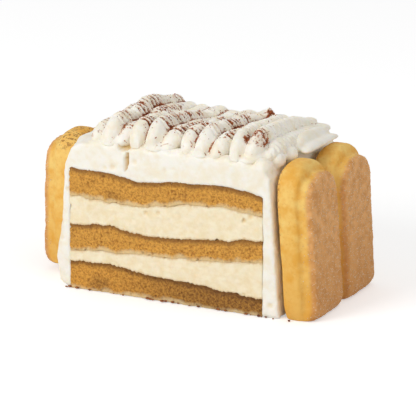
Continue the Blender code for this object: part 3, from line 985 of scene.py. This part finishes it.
def nearest_flutes(points, paths):
    """For each point: the nearest flute's number, and how much further off the next one is."""
    reach = []
    for path in paths:
        step = np.clip(np.round((points[:, 1] - path[0, 1]) / FLUTE_SPACING).astype(int), 0, len(path) - 1)
        beside = (points[:, 0] - path[step, 0]) / path[step, 3]
        above = (points[:, 2] - path[step, 2]) / path[step, 4]
        ahead = np.maximum(0, path[0, 1] - points[:, 1]) / 3.0
        reach.append(np.sqrt(beside**2 + above**2 + ahead**2))
    order = np.sort(np.array(reach), axis=0)
    return np.argmin(reach, axis=0), order[1] - order[0]


def soft_noise(points, size_mm, seed):
    """Smooth noise from about -1 to 1 at each point."""
    return np.array([noise.noise(Vector(p) / size_mm + Vector((seed, seed * 2.0, 0.0))) for p in points])


strokes = []
for number, (name, stroke) in enumerate(STROKES.items()):
    seed = 3.0 * number + 1.0
    paths = [flute_path(stroke, flute, seed + k) for k, flute in enumerate(stroke["flutes"])]
    core = flute_path(stroke, (0.0, 0.45, 2.5), seed + 20)
    core[:, 3] *= 2.1
    tips = [short_path(*tip) for tip in stroke.get("tips", ())]
    piece = lines_piece(name.replace("piped_cream", "stroke"), paths + [core] + tips)
    run_tree(piece, PIPING, {"Spacing": 0.0005, "Corners": 30, "Material": cream_paint})
    remesh(piece, STROKE_VOXEL, 2)
    points = read_points(piece)
    points[:, 1] = np.clip(points[:, 1], FRONT, BACK)
    points[:, 2] = np.maximum(points[:, 2], STROKE_BASE)
    write_points(piece, points)
    which, spare = nearest_flutes(points, paths)
    behind = points[:, 1] - FRONT
    high = np.clip((points[:, 2] - COVER_TOP) / 5.0, 0, 1)
    write_mark(piece, "run", (points[:, 1] + 0.9 * which + 0.25 * points[:, 2]) * MM)
    write_mark(piece, "ripple", np.clip((behind - 5.0) / 3.0, 0, 1) * high * (1 - 0.35 * (number == 3)))
    run_tree(piece, RIBS, {"Pitch": 0.0025, "Depth": 0.0010, "Shake": 0.65, "Sharpness": 3.0})
    strokes.append((piece, stroke, spare))
    print(piece.name, "has", len(points), "points")

# %% [markdown]
# Cocoa is sieved over the strokes. It catches on crests, in the valleys across them and along the creases
# between flutes, and it leaves the smooth noses nearly clean. Each point gets a value named cocoa, from 0 to 1,
# from those three facts and from broad noise. The cream's material turns it into grains and into a film, and
# the film is partly cocoa and partly painted shade on the strokes' upward faces.

# %% Cocoa values
HEART_RADII = (4.6, 5.2, 5.0)


def dust(piece, stroke, spare, heart=None):
    """Writes how much cocoa lies on each point of a stroke."""
    points = read_points(piece)
    flat = np.zeros(len(points) * 3, np.float32)
    piece.data.vertices.foreach_get("normal", flat)
    normals = flat.reshape(-1, 3)
    valley = np.zeros(len(points), np.float32)
    piece.data.attributes["valley"].data.foreach_get("value", valley)
    up = np.clip(normals[:, 2] * 1.5 + 0.15, 0, 1)
    high = np.clip((points[:, 2] - COVER_TOP - 3.0) / 4.0, 0, 1)
    behind = np.clip((points[:, 1] - FRONT - 3.5) / 5.0, 0, 1)
    patches = np.clip(0.55 + 1.5 * soft_noise(points, 6.0, 2.0), 0, 1)
    crease = np.exp(-((spare / 0.20) ** 2)) * np.clip((points[:, 2] - COVER_TOP - 1.0) / 2.0, 0, 1)
    specks = np.clip(soft_noise(points, 0.9, 7.0) * 2.0 - 0.35, 0, 1)
    cocoa = stroke["dust"] * patches * behind * high * up * (0.05 + 1.35 * valley + 0.35 * specks)
    cocoa += 0.8 * stroke["dust"] * crease * (0.35 + 0.65 * patches)
    cocoa += 0.45 * stroke["dust"] * specks * up * high * (1 - behind) * patches
    if heart is not None:
        far = np.sqrt((((points - heart) / HEART_RADII) ** 2).sum(axis=1)) + 0.12 * soft_noise(points, 1.5, 5.0)
        inside = np.clip((1.0 - far) / 0.3, 0, 1)
        cocoa += inside * (0.20 + 0.7 * valley + 0.8 * specks)
        broken = np.clip(0.4 + 1.6 * soft_noise(points, 2.2, 9.0), 0, 1)
        cocoa += 0.8 * np.exp(-(((far - 0.95) / 0.12) ** 2)) * broken
    write_mark(piece, "cocoa", np.clip(cocoa, 0, 1))
    write_mark(piece, "warm", np.zeros(len(points)))
    write_mark(piece, "carve", np.ones(len(points)))


HEART = (33.6, FRONT + 6.5, COVER_TOP + 10.0)
for number, (piece, stroke, spare) in enumerate(strokes):
    dust(piece, stroke, spare, HEART if number == 3 else None)
    run_tree(piece, RELIEF, {"Lump Size": 0.004, "Lump Height": 0.0003, "Grain Size": 0.0013,
                             "Grain Height": 0.00010, "Pit Size": 0.003, "Pit Depth": 0.0002,
                             "Pit Share": 0.05, "Seed": 40.0 + number})
    finish_piece(piece, cream_paint, "whipped_cream", f"piped_cream_{number + 1}")

# %% [markdown]
# The curl at the right end is a short stroke of two smooth lobes that lies on the tips of the ladyfingers.
# Hardly any cocoa reached it.

# %% The curl
curl_low, curl_high = place_of("piped_curl")
CURL_LOBES = ((41.2, 1.0, 2.8), (44.8, 0.55, 2.6))  # middle x, share of the height, half width
curl_height = curl_high.z - COVER_TOP
curl_paths = [
    short_path(x, curl_low.y, curl_high.y, curl_height * share, wide, 60.0 + x) for x, share, wide in CURL_LOBES
]
curl = lines_piece("curl", curl_paths)
run_tree(curl, PIPING, {"Spacing": 0.0005, "Corners": 30, "Material": cream_paint})
remesh(curl, STROKE_VOXEL, 3)
for label, value in (("carve", 1.0), ("cocoa", 0.0), ("warm", 0.0)):
    write_mark(curl, label, np.full(len(curl.data.vertices), value))
run_tree(curl, RELIEF, {"Lump Size": 0.005, "Lump Height": 0.00025, "Grain Size": 0.0016,
                        "Grain Height": 0.00004, "Pit Size": 0.004, "Pit Depth": 0.0001,
                        "Pit Share": 0.05, "Seed": 51.0})
finish_piece(curl, cream_paint, "whipped_cream", "piped_curl")

# %% [markdown]
# Sugar on the crusts and cocoa on the cream are real grains here, not only colour, so they catch light and
# break the outline. One tree, strew, scatters small twenty-sided grains over a piece, more of them where a
# named value is high. It gives back the grains alone, so each kind is a piece of its own.

# %% Strewn grains


def strew_tree():
    """Scatters grains over a piece, as densely as the value named in Mask says."""
    sizes = {"Smallest": 0.0001, "Largest": 0.0003}
    tree, given = new_tree("strew", {"Mask": "cocoa", "Per Area": 1.0e6, **sizes, "Seed": 1, "Material": None})
    mask = node(tree, "GeometryNodeInputNamedAttribute", {"Name": given["Mask"]}, data_type="FLOAT").outputs[0]
    crowd = calc(tree, "MULTIPLY", calc(tree, "POWER", mask, 1.5), given["Per Area"])
    spots = node(tree, "GeometryNodeDistributePointsOnFaces",
                 {"Mesh": given[0], "Density": crowd, "Seed": given["Seed"]}, distribute_method="RANDOM")
    size = node(
        tree, "FunctionNodeRandomValue",
        {2: given["Smallest"], 3: given["Largest"], "Seed": given["Seed"]}, data_type="FLOAT",
    ).outputs[1]
    grain = node(tree, "GeometryNodeMeshIcoSphere", {"Radius": 1.0, "Subdivisions": 1}).outputs[0]
    turn = spots.outputs["Rotation"]
    laid = node(tree, "GeometryNodeInstanceOnPoints",
                {"Points": spots.outputs[0], "Instance": grain, "Rotation": turn, "Scale": size})
    real = node(tree, "GeometryNodeRealizeInstances", {0: laid.outputs[0]}).outputs[0]
    painted = node(tree, "GeometryNodeSetMaterial", {"Geometry": real, "Material": given["Material"]})
    end_tree(tree, painted.outputs[0])
    return tree


def grain_material(name, light, dark, roughness):
    """Grains whose tone changes from one to the next."""
    material, tree, surface, bump = food_material(name, roughness, 0.02, 0.0)
    tone = between(tree, noise_value(tree, 0.8, 2.0, 0.6), 0.4, 0.62)
    tree.links.new(blend_colour(tree, tone, dark, light), surface.inputs["Base Color"])
    tree.links.new(noise_value(tree, 0.1, 1.0, 0.5), bump.inputs["Height"])
    return material


def strewn(name, sources, slot, inputs):
    """The grains of one kind over several pieces, joined into one piece."""
    parts = []
    for number, source in enumerate(sources):
        part = source.copy()
        part.data = source.data.copy()
        bpy.context.scene.collection.objects.link(part)
        run_tree(part, STREW, {**inputs, "Seed": number + 1})
        parts.append(part)
    join_shapes(*parts)
    parts[0].name = name
    finish_piece(parts[0], inputs["Material"], slot)


STREW = strew_tree()
cocoa_paint = grain_material("cocoa_grains", screen(190, 104, 50), screen(124, 60, 28), 0.9)
sugar_paint = grain_material("sugar_grains", screen(240, 218, 188), screen(214, 176, 132), 0.4)
strewn("cocoa_grains", [piece for piece, *_ in strokes], "cocoa",
       {"Mask": "cocoa", "Per Area": 9.0e6, "Smallest": 0.00010, "Largest": 0.00024, "Material": cocoa_paint})
strewn("sugar_grains", biscuits, "biscuit",
       {"Mask": "crust", "Per Area": 0.9e6, "Smallest": 0.00012, "Largest": 0.00024, "Material": sugar_paint})

# %% [markdown]
# A knife leaves a few wet crumbs along the foot of the cut. They are small squashed lumps whose places come
# from a seeded random generator, so that every run lays them alike.

# %% Crumbs along the foot
CRUMBS = 34
draw = np.random.default_rng(5)
crumbs = []
for _ in range(CRUMBS):
    x = draw.uniform(stack_low.x - 2.0, stack_high.x + 12.0)
    radius = draw.uniform(0.22, 0.60)
    place = (x, FRONT - draw.uniform(0.1, 0.9), radius * 0.7)
    crumbs.append(lump(place, (radius * draw.uniform(1.0, 1.6), radius, radius * 0.7), 2))
join_shapes(*crumbs)
crumbs[0].name = "foot_crumbs"
crumb_paint = grain_material("wet_crumbs", screen(170, 106, 52), screen(96, 48, 26), 0.6)
finish_piece(crumbs[0], crumb_paint, "soaked_sponge")
